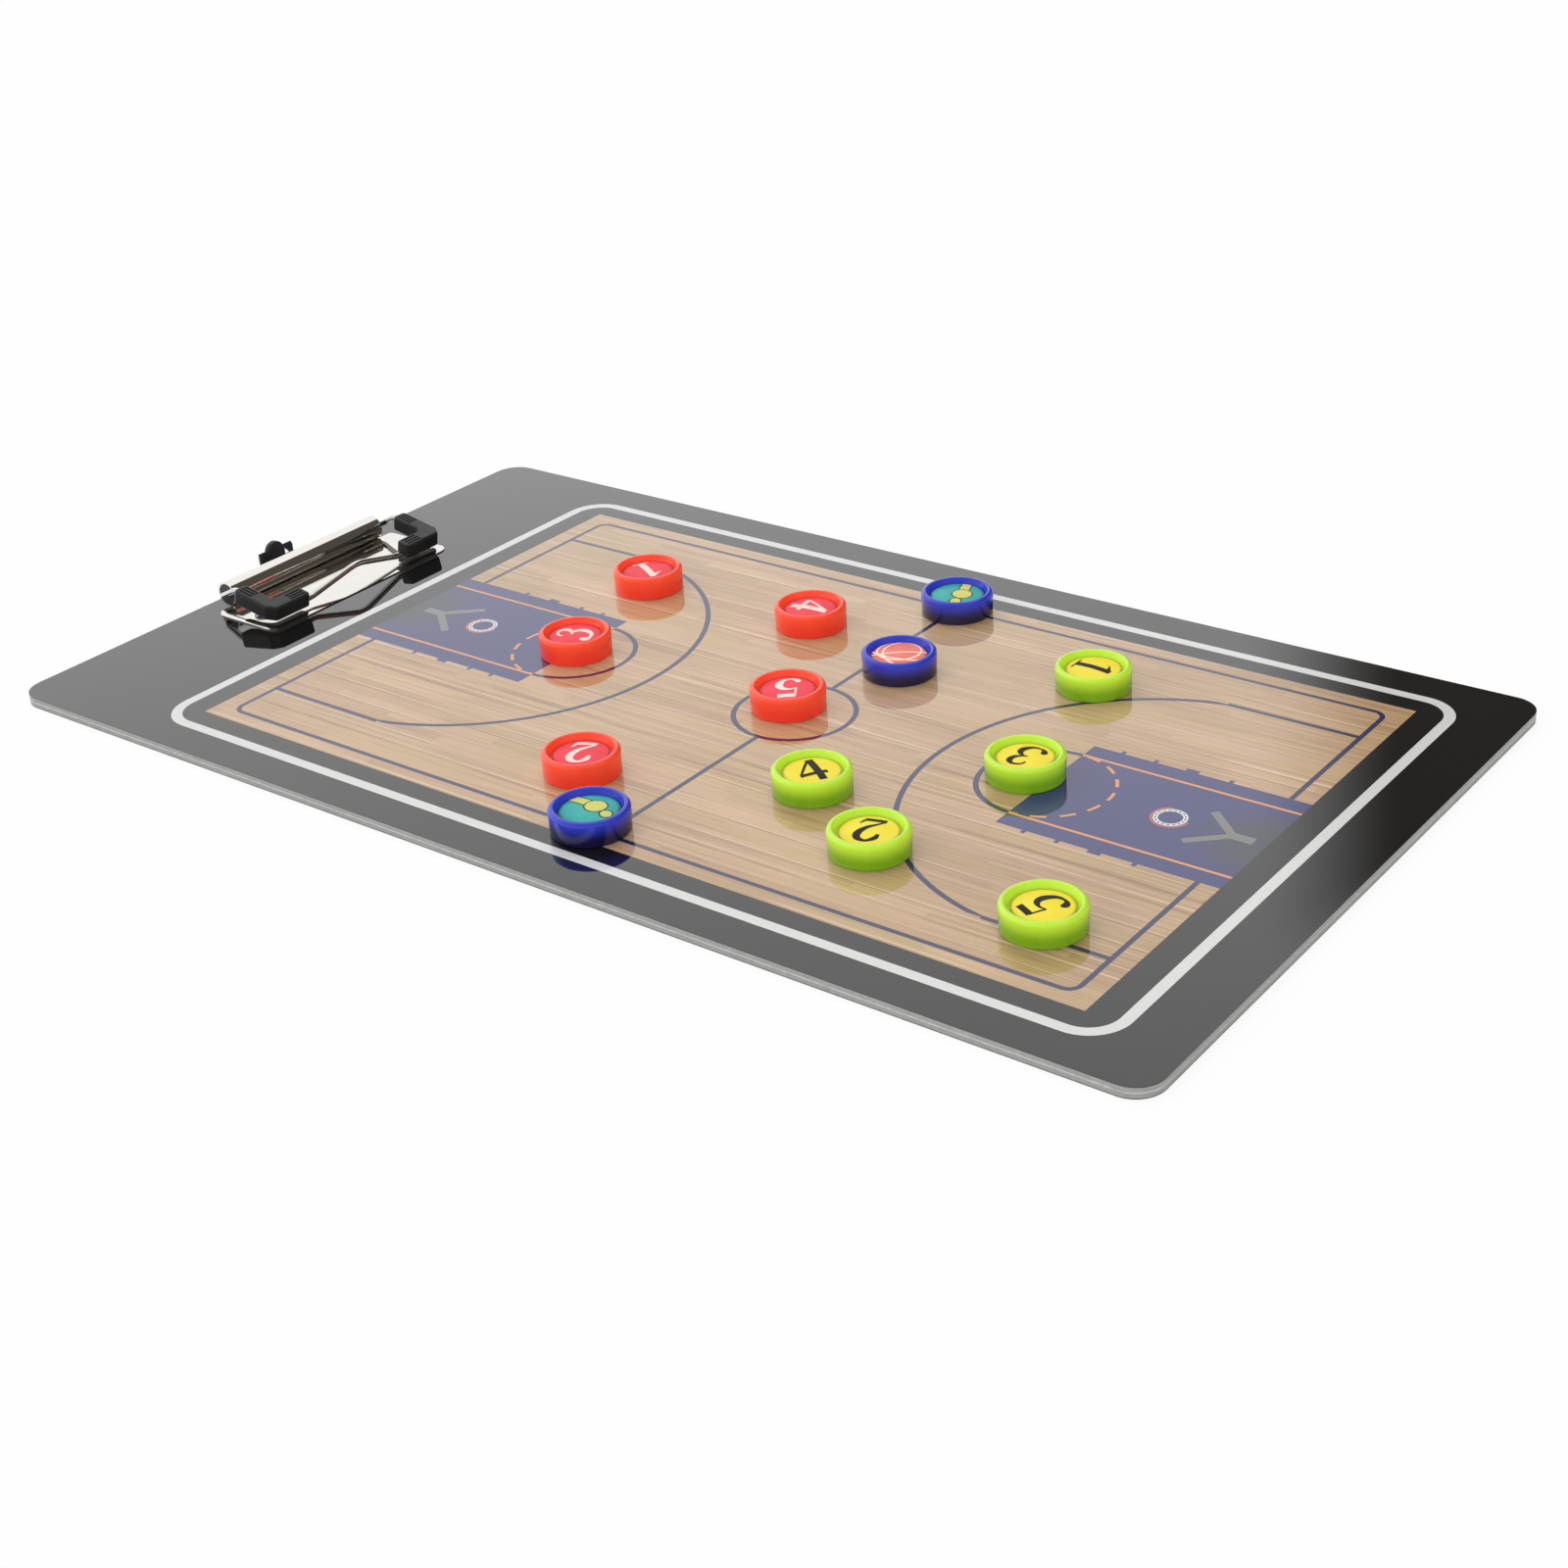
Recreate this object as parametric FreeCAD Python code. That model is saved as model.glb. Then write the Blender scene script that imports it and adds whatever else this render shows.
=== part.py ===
import FreeCAD, Part
import math
import os

# Magnetic basketball tactics board: a laminated board with a sprung wire clip, a pull-out hanger
# and thirteen magnet counters. Millimetres. The origin is the centre of the board's back face,
# +X runs along the board away from the clip, +Y across it and +Z up out of the printed face.

V = FreeCAD.Vector
cut_overrun = 1.0  # how far a cutting shape runs past what it cuts
bond_gap = 0.02  # glue or moulding line between two pieces of one assembly
running_gap = 0.05  # radial clearance of a journal in its bush
sliding_gap = 0.3  # side clearance of the sliding hanger
hole_gap = 0.1  # radial clearance of a rivet in its hole

# Board: two stiff sheets over a steel core, with a film on each face
board_length = 360.0
board_width = 205.0
board_corner_radius = 7.5
back_film_thickness = 0.2
back_sheet_thickness = 1.1
steel_thickness = 0.4
front_sheet_thickness = 1.1
front_film_thickness = 0.2

# Clip base plate: one pressed sheet, rolled into a tube along its rear edge
plate_side_margin = 3.6  # how far the plate reaches past the bail's side wires
plate_front_inset = 33.4  # from the board's end to the plate's front edge
plate_wing_inset = 9.0  # from the board's end to the rear of the side wings
plate_sheet = 0.5
plate_hollow = 0.4  # free height under the raised platform
plate_edge_height = 0.35
plate_lip_run = 3.4  # slope of the front lip, measured along the board
plate_side_run = 2.0
lip_shares = (0.0, 0.33, 0.67, 1.0)  # places up the lip at which its outline is drawn
plate_corner_radius = 3.5
plate_wing_radius = 2.0
tube_axis_inset = 7.0  # from the board's end to the tube's axis
tube_radius = 3.7
tube_end_gap = 0.4  # between the tube's end and the start of the wire's bend
tube_seam_angle = 54.0  # degrees below level at which the rolled edge stops

# Rivets
rivet_radius = 1.5
rivet_inset = 23.0  # from the board's end
rivet_side_inset = 5.5  # from the plate's side edge
rivet_head_radius = 2.7
rivet_head_height = 0.6
rivet_tail_radius = 2.5
rivet_tail_height = 0.6
rivet_sink = 0.2  # how far the tail lies inside the back face
rivet_pocket_gap = 0.4

# Bail: one bent wire, sizes taken from the tube's axis
wire_diameter = 1.9
bail_width = 65.8  # between the centres of the two side wires
knee_reach = 8.0
knee_rise = 4.1
front_reach = 22.7
front_drop = 0.65
hump_width = 35.0
hump_rise = 4.6
hump_forward = 1.8
journal_gap = 6.0  # between the two inner ends of the wire
journal_bend_radius = 2.0
knee_bend_radius = 5.0
corner_bend_radius = 3.0
hump_foot_radius = 5.0
hump_peak_radius = 10.0

# Bushes and torsion spring in the tube
bush_length = 8.0
spring_wire_diameter = 0.8
spring_mean_radius = 2.1
spring_turns = 6
spring_pitch = 2.6

# Grips: L-shaped mouldings on the bail's front corners
grip_arm_width = 5.0
grip_slope = 10.4  # degrees, down towards the front
grip_above = 3.5
grip_below = 1.2
grip_side_length = 14.2  # from the wire's corner to the rear end
grip_front_length = 12.7  # from the wire's corner to the inner end
grip_bevel_length = 3.0
grip_bevel_width = 2.0
grip_inner_radius = 1.6
grip_corner_radius = 1.3  # of the upright edges at the bevel and at the ends
grip_edge_radius = 0.8
groove_count = 3
groove_width = 0.65
groove_depth = 0.9
groove_pitch = 1.2
groove_length = 5.6
groove_inset = 1.2

# Hanger: a strip that slides under the clip plate, with an upright head behind the board
channel_depth = 0.8
strip_thickness = 0.9
strip_lift = 0.1  # running clearance under the strip
strip_width = 12.4
strip_inner_inset = 28.0  # from the board's end to the strip's inner end
tee_width = 17.2
tee_length = 4.0
hanger_travel = 11.5
eye_radius = 3.25
eye_reach = 5.5  # from the head to the centre of the eye
head_gap = 4.5  # between the board's end and the head
head_width = 13.2
lug_thickness = 0.9
lug_height = 5.5  # above the board's face
lug_bevel = 0.7
dome_width = 6.6
dome_thickness = 2.0
dome_height = 7.6  # above the board's face
dome_edge_radius = 0.4
notch_foot_height = 2.2
notch_top_height = 4.6
notch_width = 2.2

# Counters
counter_diameter = 20.5
counter_height = 6.75
counter_wall = 1.75  # at the rim
recess_depth = 2.1
recess_taper = 0.75  # how much narrower the recess is at its floor
web_thickness = 1.4
label_gap = 0.25
label_edge = 0.6
label_crown = 1.25
disc_diameter = 15.0
disc_thickness = 3.0
rim_outer_radius = 1.1
rim_flat = 0.1  # level strip along the crest of the rim
foot_radius = 0.3
counter_draft = 0.15  # how much smaller the foot's radius is than the rim's

# Where the counters stand, as shares of the board's length and width from its centre
counter_place_shares = {
    "red_1": (-0.1995, 0.2173),
    "red_2": (-0.0283, -0.2727),
    "red_3": (-0.1671, -0.0068),
    "red_4": (-0.0381, 0.2294),
    "red_5": (0.0351, 0.0060),
    "green_1": (0.2099, 0.2571),
    "green_2": (0.2106, -0.2481),
    "green_3": (0.2418, 0.0017),
    "green_4": (0.1281, -0.1627),
    "green_5": (0.3573, -0.2858),
    "referee_1": (0.0476, 0.3693),
    "referee_2": (0.0320, -0.3783),
    "ball": (0.0717, 0.1663),
}

# Heights and places that follow from the sizes above
back_sheet_z = back_film_thickness
steel_z = back_sheet_z + back_sheet_thickness
front_sheet_z = steel_z + steel_thickness
front_film_z = front_sheet_z + front_sheet_thickness
board_top = front_film_z + front_film_thickness
clip_end_x = -board_length / 2
tube_axis_x = clip_end_x + tube_axis_inset
tube_axis_z = board_top + plate_hollow + tube_radius
tube_inner_radius = tube_radius - plate_sheet
plate_front_x = clip_end_x + plate_front_inset
plate_wing_x = clip_end_x + plate_wing_inset
plate_top = board_top + plate_hollow + plate_sheet
wire_radius = wire_diameter / 2
plate_width = bail_width + 2 * plate_side_margin
tube_length = bail_width - 2 * (journal_bend_radius + tube_end_gap)
head_front_x = clip_end_x - head_gap
strip_bottom = board_top - channel_depth + strip_lift
strip_inner_x = clip_end_x + strip_inner_inset


def rounded_rectangle(x0, x1, half_width, radius, z):
    """Closed wire of a rectangle with round corners, centred on the X axis, at height z."""
    corners = [(x1, half_width), (x0, half_width), (x0, -half_width), (x1, -half_width)]
    inward = [(-1, -1), (1, -1), (1, 1), (-1, 1)]
    bulge = radius * (1 - math.sqrt(0.5))
    edges = []
    ends = []
    for (cx, cy), (sx, sy) in zip(corners, inward):
        along_x = V(cx + sx * radius, cy, z)
        along_y = V(cx, cy + sy * radius, z)
        middle = V(cx + sx * bulge, cy + sy * bulge, z)
        first, last = (along_y, along_x) if sx == sy else (along_x, along_y)
        edges.append(Part.Arc(first, middle, last).toShape())
        ends.append((first, last))
    for i in range(len(ends)):
        edges.append(Part.LineSegment(ends[i][1], ends[(i + 1) % len(ends)][0]).toShape())
    return Part.Wire(Part.__sortEdges__(edges))


def slab(x0, x1, half_width, radius, z0, z1):
    """Solid of a round-cornered rectangle between two heights."""
    face = Part.Face(rounded_rectangle(x0, x1, half_width, radius, z0))
    return face.extrude(V(0, 0, z1 - z0))


def box(x0, x1, y0, y1, z0, z1):
    """Rectangular block between its low and high corners."""
    return Part.makeBox(x1 - x0, y1 - y0, z1 - z0, V(x0, y0, z0))


def upright(radius, x, y, z0, z1):
    """Cylinder standing along Z."""
    return Part.makeCylinder(radius, z1 - z0, V(x, y, z0))


def turned(profile, x, y, z):
    """Solid of revolution about Z from (radius, height) points, placed at x, y, z."""
    points = [V(r, 0, h) for r, h in profile]
    face = Part.Face(Part.makePolygon(points + points[:1]))
    solid = face.revolve(V(0, 0, 0), V(0, 0, 1), 360)
    solid.translate(V(x, y, z))
    return solid


def bent_path(points, radii):
    """Wire of straight runs joined by tangent arcs: one radius for each inner point."""
    edges = []
    start = points[0]
    for before, at, after, radius in zip(points, points[1:], points[2:], radii):
        back = (before - at).normalize()
        on = (after - at).normalize()
        half_angle = back.getAngle(on) / 2
        reach = radius / math.tan(half_angle)
        towards_centre = (back + on).normalize()
        middle = at + towards_centre * (radius / math.sin(half_angle) - radius)
        first = at + back * reach
        last = at + on * reach
        edges.append(Part.LineSegment(start, first).toShape())
        edges.append(Part.Arc(first, middle, last).toShape())
        start = last
    edges.append(Part.LineSegment(start, points[-1]).toShape())
    return Part.Wire(edges)


def round_bar(path, radius):
    """Solid of round section swept along a path."""
    first = path.Edges[0]
    start = first.valueAt(first.FirstParameter)
    direction = first.tangentAt(first.FirstParameter)
    section = Part.Wire(Part.makeCircle(radius, start, direction))
    return path.makePipeShell([section], True, False)


def rivet_places():
    """Plan places of the two clip rivets."""
    x = clip_end_x + rivet_inset
    y = plate_width / 2 - rivet_side_inset
    return [(x, y), (x, -y)]


def rivet_holes():
    """Cutting shapes for the rivets: a hole through everything and a pocket at the back."""
    pocket_depth = rivet_sink + rivet_tail_height
    tools = []
    for x, y in rivet_places():
        tools.append(upright(rivet_radius + hole_gap, x, y, -cut_overrun, plate_top + cut_overrun))
        tools.append(upright(rivet_tail_radius + rivet_pocket_gap, x, y, -cut_overrun, pocket_depth))
    return tools


def hanger_channel():
    """Cutting shape of the hanger's channel, wide inside and narrow at the board's end."""
    floor = board_top - channel_depth
    roof = board_top + cut_overrun
    tee_rear_x = strip_inner_x - tee_length
    shoulder_x = tee_rear_x - hanger_travel - sliding_gap
    narrow = strip_width / 2 + sliding_gap
    wide = tee_width / 2 + sliding_gap
    neck = box(clip_end_x - cut_overrun, shoulder_x + cut_overrun, -narrow, narrow, floor, roof)
    pocket = box(shoulder_x, strip_inner_x + sliding_gap, -wide, wide, floor, roof)
    return neck.fuse(pocket)


def board_layer(z0, thickness, channelled):
    """One layer of the laminate, with its rivet holes and, near the face, the hanger's channel."""
    half_length = board_length / 2
    layer = slab(-half_length, half_length, board_width / 2, board_corner_radius, z0, z0 + thickness)
    tools = rivet_holes()
    if channelled:
        tools.append(hanger_channel())
    return layer.cut(tools)


def lip_outline(rear_x, share):
    """Outline of the plate part of the way up its lip, which grows flatter towards the platform."""
    front_x = plate_front_x - share * plate_lip_run
    side_inset = share * plate_side_run
    rise = (plate_top - board_top - plate_edge_height) * (1 - (1 - share) ** 2)
    return rounded_rectangle(
        rear_x, front_x, plate_width / 2 - side_inset, plate_corner_radius - side_inset,
        board_top + plate_edge_height + rise,
    )


def clip_plate():
    """Pressed base plate: rounded lip on three sides, raised platform, rear edge rolled into a tube."""
    rear_x = tube_axis_x - cut_overrun - plate_lip_run
    half = plate_width / 2
    top_half = half - plate_side_run
    top_front = plate_front_x - plate_lip_run
    edge_z = board_top + plate_edge_height
    foot = slab(rear_x, plate_front_x, half, plate_corner_radius, board_top, edge_z)
    lip = Part.makeLoft([lip_outline(rear_x, share) for share in lip_shares], True)
    pan = foot.fuse(lip)
    hollow = box(
        rear_x - cut_overrun, top_front - plate_sheet, plate_sheet - top_half, top_half - plate_sheet,
        board_top - cut_overrun, board_top + plate_hollow,
    )
    wings = slab(plate_wing_x, plate_front_x + cut_overrun, half, plate_wing_radius, board_top, plate_top)
    tongue = box(tube_axis_x, plate_front_x, -tube_length / 2, tube_length / 2, board_top, plate_top)
    pan = pan.cut(hollow).common(wings.fuse(tongue))
    plate = pan.fuse(rolled_tube()).removeSplitter()
    return plate.cut(rivet_holes())


def rolled_tube():
    """Tube rolled from the plate: up behind, over the top and down in front to an open seam."""
    seam = -math.radians(tube_seam_angle)

    def at(radius, angle):
        return V(
            tube_axis_x + radius * math.cos(angle),
            -tube_length / 2,
            tube_axis_z + radius * math.sin(angle),
        )

    bottom = -math.pi / 2
    top = math.pi / 2
    outside = Part.Arc(at(tube_radius, bottom), at(tube_radius, -math.pi), at(tube_radius, top))
    outside_front = Part.Arc(at(tube_radius, top), at(tube_radius, 0), at(tube_radius, seam))
    bore = tube_inner_radius
    lip = Part.LineSegment(at(tube_radius, seam), at(bore, seam))
    inside_front = Part.Arc(at(bore, seam), at(bore, 0), at(bore, top))
    inside = Part.Arc(at(bore, top), at(bore, -math.pi), at(bore, bottom))
    root = Part.LineSegment(at(bore, bottom), at(tube_radius, bottom))
    edges = [e.toShape() for e in (outside, outside_front, lip, inside_front, inside, root)]
    return Part.Face(Part.Wire(edges)).extrude(V(0, tube_length, 0))


def rivets():
    """The two clip rivets: domed head, shank and a flat tail sunk in the back."""
    tail_top = rivet_sink + rivet_tail_height
    profile = [
        (0, rivet_sink),
        (rivet_tail_radius, rivet_sink),
        (rivet_tail_radius, tail_top),
        (rivet_radius, tail_top),
        (rivet_radius, plate_top),
        (rivet_head_radius, plate_top),
        (rivet_head_radius, plate_top + rivet_head_height / 2),
        (rivet_radius, plate_top + rivet_head_height),
        (0, plate_top + rivet_head_height),
    ]
    return Part.makeCompound([turned(profile, x, y, 0) for x, y in rivet_places()])


def bail_points():
    """Corner points of the bail's centre line, from one journal end round to the other."""
    side = bail_width / 2
    axis = V(tube_axis_x, 0, tube_axis_z)
    near_half = [
        axis + V(0, -journal_gap / 2, 0),
        axis + V(0, -side, 0),
        axis + V(knee_reach, -side, knee_rise),
        axis + V(front_reach, -side, -front_drop),
        axis + V(front_reach, -hump_width / 2, -front_drop),
    ]
    peak = axis + V(front_reach + hump_forward, 0, hump_rise - front_drop)
    far_half = [V(p.x, -p.y, p.z) for p in reversed(near_half)]
    return near_half + [peak] + far_half


def bail(radius):
    """The bail as a bar of the given radius along its centre line."""
    bends = [journal_bend_radius, knee_bend_radius, corner_bend_radius, hump_foot_radius]
    radii = bends + [hump_peak_radius] + bends[::-1]
    return round_bar(bent_path(bail_points(), radii), radius)


def grip_corners():
    """Plan of the L-shaped grip about the wire's corner: rearward is x, inward is y, inner corner first."""
    half = grip_arm_width / 2
    return [
        (half, half),
        (half, grip_front_length),
        (-half, grip_front_length),
        (-half, grip_bevel_width - half),
        (grip_bevel_length - half, -half),
        (grip_side_length, -half),
        (grip_side_length, half),
    ]


def grip_block():
    """The grip's moulding before its grooves: all its edges rounded."""
    points = grip_corners()
    low = [V(x, y, -grip_below) for x, y in points]
    block = Part.Face(Part.makePolygon(low + low[:1])).extrude(V(0, 0, grip_above + grip_below))
    inner = [e for e in block.Edges if is_upright_at(e, *points[0])]
    block = block.makeFillet(grip_inner_radius, inner)
    outer = [e for e in block.Edges if any(is_upright_at(e, x, y) for x, y in points[1:])]
    block = block.makeFillet(grip_corner_radius, outer)
    rims = [e for e in block.Edges if lies_at_height(e, grip_above) or lies_at_height(e, -grip_below)]
    return block.makeFillet(grip_edge_radius, rims)


def grip_grooves():
    """Cutting shapes of the grooves on both arms of the grip."""
    depth_z = grip_above - groove_depth
    roof_z = grip_above + cut_overrun
    first = -groove_pitch * (groove_count - 1) / 2
    tools = []
    for i in range(groove_count):
        low = first + i * groove_pitch - groove_width / 2
        high = low + groove_width
        side_end = grip_side_length - groove_inset
        front_end = grip_front_length - groove_inset
        tools.append(box(side_end - groove_length, side_end, low, high, depth_z, roof_z))
        tools.append(box(low, high, front_end - groove_length, front_end, depth_z, roof_z))
    return tools


def far_grip():
    """Grip on the far front corner of the bail, moulded round the wire."""
    block = grip_block().cut(grip_grooves())
    slope = math.radians(grip_slope)
    back = V(-math.cos(slope), 0, math.sin(slope))
    inward = V(0, -1, 0)
    up = back.cross(inward)
    corner = V(tube_axis_x + front_reach, bail_width / 2, tube_axis_z - front_drop)
    block.Placement = FreeCAD.Placement(FreeCAD.Matrix(
        back.x, inward.x, up.x, corner.x,
        back.y, inward.y, up.y, corner.y,
        back.z, inward.z, up.z, corner.z,
        0, 0, 0, 1,
    ))
    return block.cut(bail(wire_radius + bond_gap))


def is_upright_at(edge, x, y):
    """True for an edge that stands along Z at the given plan place."""
    low = edge.BoundBox
    flat = max(low.XLength, low.YLength) < bond_gap
    return flat and abs(low.XMin - x) < bond_gap and abs(low.YMin - y) < bond_gap


def lies_at_height(edge, z):
    """True for an edge that lies in the level plane at height z."""
    reach = edge.BoundBox
    return abs(reach.ZMin - z) < bond_gap and abs(reach.ZMax - z) < bond_gap


def tube_bush(side):
    """Bush in one end of the tube, with the bore that a journal of the bail turns in."""
    start = V(tube_axis_x, side * tube_length / 2, tube_axis_z)
    inward = V(0, -side, 0)
    ring = Part.makeCylinder(tube_inner_radius - bond_gap, bush_length, start, inward)
    return ring.cut(Part.makeCylinder(wire_radius + running_gap, bush_length, start, inward))


def torsion_spring():
    """Coil round the journals, as arcs of a quarter turn along the helix."""
    steps_per_turn = 4
    length = spring_turns * spring_pitch

    def at(turn):
        angle = turn * 2 * math.pi
        return V(
            tube_axis_x + spring_mean_radius * math.cos(angle),
            turn * spring_pitch - length / 2,
            tube_axis_z + spring_mean_radius * math.sin(angle),
        )

    step = 1 / steps_per_turn
    edges = []
    for i in range(spring_turns * steps_per_turn):
        turn = i * step
        edges.append(Part.Arc(at(turn), at(turn + step / 2), at(turn + step)).toShape())
    return round_bar(Part.Wire(edges), spring_wire_diameter / 2)


def hanger_dome():
    """Half-round middle of the hanger's head, with soft top edges."""
    radius = dome_width / 2
    top = board_top + dome_height
    centre = top - radius
    rear_x = head_front_x - dome_thickness

    def at(y, z):
        return V(rear_x, y, z)

    sides = Part.makePolygon([
        at(-radius, centre), at(-radius, strip_bottom), at(radius, strip_bottom), at(radius, centre),
    ])
    crown = Part.Arc(at(radius, centre), at(0, top), at(-radius, centre)).toShape()
    dome = Part.Face(Part.Wire(sides.Edges + [crown])).extrude(V(dome_thickness, 0, 0))
    rims = [e for e in dome.Edges if e.BoundBox.ZMax > centre + dome_edge_radius]
    return dome.makeFillet(dome_edge_radius, rims)


def hanger_head():
    """Upright head: a dome between two bevelled lugs, with a tapered slot on the dome's far side."""
    shoulder = board_top + lug_height
    half = head_width / 2
    rear_x = head_front_x - lug_thickness
    outline = [
        V(rear_x, -half, strip_bottom), V(head_front_x, -half, strip_bottom),
        V(head_front_x, -half, shoulder - lug_bevel), V(head_front_x - lug_bevel, -half, shoulder),
        V(rear_x, -half, shoulder),
    ]
    lugs = Part.Face(Part.makePolygon(outline + outline[:1])).extrude(V(0, head_width, 0))
    inner_y = dome_width / 2
    foot = board_top + notch_foot_height
    points = [
        V(rear_x, inner_y, foot), V(rear_x, inner_y + notch_width, foot),
        V(rear_x, inner_y, board_top + notch_top_height),
    ]
    slot = Part.Face(Part.makePolygon(points + points[:1])).extrude(V(lug_thickness, 0, 0))
    return lugs.cut(slot).fuse(hanger_dome())


def hanger():
    """Pull-out hanger: strip with a tee that stops it, an eye for a nail and the upright head."""
    top = strip_bottom + strip_thickness
    half = strip_width / 2
    tee_rear_x = strip_inner_x - tee_length
    strip = box(head_front_x, strip_inner_x, -half, half, strip_bottom, top)
    tee = box(tee_rear_x, strip_inner_x, -tee_width / 2, tee_width / 2, strip_bottom, top)
    eye = upright(eye_radius, head_front_x + eye_reach, 0, strip_bottom - cut_overrun, top + cut_overrun)
    return strip.fuse([tee, hanger_head()]).removeSplitter().cut(eye)


def recess_floor_radius():
    """Radius of a counter's recess at its floor."""
    return counter_diameter / 2 - counter_wall - recess_taper


def quarter_round(start, end, centre):
    """Arc of a quarter turn between two points of a profile in the XZ plane."""
    middle = (start + end) / 2 - centre
    return Part.Arc(start, centre + middle.normalize() * start.distanceToPoint(centre), end).toShape()


def counter_cup(x, y):
    """Moulded cup of a counter: round rim, sunk floor above and a pocket for the magnet below."""
    outer = counter_diameter / 2
    foot = outer - counter_draft
    inner = outer - counter_wall
    pocket = disc_diameter / 2 + bond_gap
    floor = counter_height - recess_depth
    web = floor - web_thickness
    rim_inner_radius = counter_wall - rim_outer_radius - rim_flat
    outer_low = V(outer, 0, counter_height - rim_outer_radius)
    inner_low = V(inner, 0, counter_height - rim_inner_radius)
    wall = Part.makePolygon([
        V(pocket, 0, 0), V(foot - foot_radius, 0, 0), V(foot, 0, foot_radius), outer_low,
    ])
    crest = V(outer - rim_outer_radius, 0, counter_height)
    crest_end = V(inner + rim_inner_radius, 0, counter_height)
    recess = Part.makePolygon([
        inner_low, V(recess_floor_radius(), 0, floor), V(0, 0, floor), V(0, 0, web), V(pocket, 0, web),
        V(pocket, 0, 0),
    ])
    rim = [
        quarter_round(outer_low, crest, V(crest.x, 0, outer_low.z)),
        Part.LineSegment(crest, crest_end).toShape(),
        quarter_round(crest_end, inner_low, V(crest_end.x, 0, inner_low.z)),
    ]
    edges = wall.Edges + rim + recess.Edges
    cup = Part.Face(Part.Wire(edges)).revolve(V(0, 0, 0), V(0, 0, 1), 360)
    cup.translate(V(x, y, board_top))
    return cup


def counter_label(x, y):
    """Domed label disc that lies on the floor of the recess."""
    radius = recess_floor_radius() - label_gap
    middle = radius / 2
    rise = label_crown - label_edge
    sphere = (radius * radius + rise * rise) / (2 * rise)
    middle_z = label_crown - sphere + math.sqrt(sphere * sphere - middle * middle)
    crown = V(0, 0, label_crown)
    edge = V(radius, 0, label_edge)
    edges = Part.makePolygon([crown, V(0, 0, 0), V(radius, 0, 0), edge]).Edges
    edges.append(Part.Arc(edge, V(middle, 0, middle_z), crown).toShape())
    label = Part.Face(Part.Wire(edges)).revolve(V(0, 0, 0), V(0, 0, 1), 360)
    label.translate(V(x, y, board_top + counter_height - recess_depth))
    return label


def counter_disc(x, y):
    """Magnet disc glued under the web of the cup."""
    top = board_top + counter_height - recess_depth - web_thickness
    return upright(disc_diameter / 2, x, y, top - disc_thickness, top)


def all_parts():
    """Every piece by its node name."""
    far = far_grip()
    pieces = {
        "back_film": board_layer(0, back_film_thickness, False),
        "back_sheet": board_layer(back_sheet_z, back_sheet_thickness, False),
        "steel_sheet": board_layer(steel_z, steel_thickness, False),
        "front_sheet": board_layer(front_sheet_z, front_sheet_thickness, True),
        "front_film": board_layer(front_film_z, front_film_thickness, True),
        "clip_base_plate": clip_plate(),
        "clip_rivets": rivets(),
        "bush_near": tube_bush(-1),
        "bush_far": tube_bush(1),
        "torsion_spring": torsion_spring(),
        "bail_wire": bail(wire_radius),
        "grip_far": far,
        "grip_near": far.mirror(V(0, 0, 0), V(0, 1, 0)),
        "hanger": hanger(),
    }
    for name, (share_x, share_y) in counter_place_shares.items():
        x = share_x * board_length
        y = share_y * board_width
        pieces[name + "_cup"] = counter_cup(x, y)
        pieces[name + "_label"] = counter_label(x, y)
        pieces[name + "_disc"] = counter_disc(x, y)
    return pieces


os.makedirs("parts", exist_ok=True)
for node, shape in all_parts().items():
    print(node, len(shape.Solids), shape.isValid(), round(shape.Volume, 1))
    shape.exportStep("parts/" + node + ".step")
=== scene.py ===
import math

import bmesh
import bpy
from mathutils import Matrix, Vector


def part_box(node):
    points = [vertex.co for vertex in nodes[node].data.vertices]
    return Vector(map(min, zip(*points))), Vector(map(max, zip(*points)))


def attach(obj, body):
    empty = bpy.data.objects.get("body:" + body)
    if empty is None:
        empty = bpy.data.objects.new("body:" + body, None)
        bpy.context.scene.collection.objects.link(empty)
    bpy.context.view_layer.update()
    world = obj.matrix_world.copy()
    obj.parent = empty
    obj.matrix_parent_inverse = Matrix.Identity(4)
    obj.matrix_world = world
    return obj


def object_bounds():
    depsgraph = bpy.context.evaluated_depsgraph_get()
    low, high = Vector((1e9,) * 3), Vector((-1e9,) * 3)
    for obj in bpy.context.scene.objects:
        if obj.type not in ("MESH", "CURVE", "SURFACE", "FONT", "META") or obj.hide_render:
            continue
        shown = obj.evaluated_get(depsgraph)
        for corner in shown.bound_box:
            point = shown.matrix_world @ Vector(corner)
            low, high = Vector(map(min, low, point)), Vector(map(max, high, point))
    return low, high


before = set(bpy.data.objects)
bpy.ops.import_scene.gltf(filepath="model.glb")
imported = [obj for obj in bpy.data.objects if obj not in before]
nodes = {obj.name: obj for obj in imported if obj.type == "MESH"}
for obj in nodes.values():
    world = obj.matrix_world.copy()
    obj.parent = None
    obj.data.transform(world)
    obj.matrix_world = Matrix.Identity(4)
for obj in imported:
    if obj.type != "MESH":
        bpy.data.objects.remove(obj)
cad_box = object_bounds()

# Looks of the magnetic tactics board: the printed court, the counters' numbers and signs, and the
# studio. Metres in the part's frame; the print and the numbers are laid out in millimetres.

MM = 0.001
board_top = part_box("front_film")[1][2]

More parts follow.
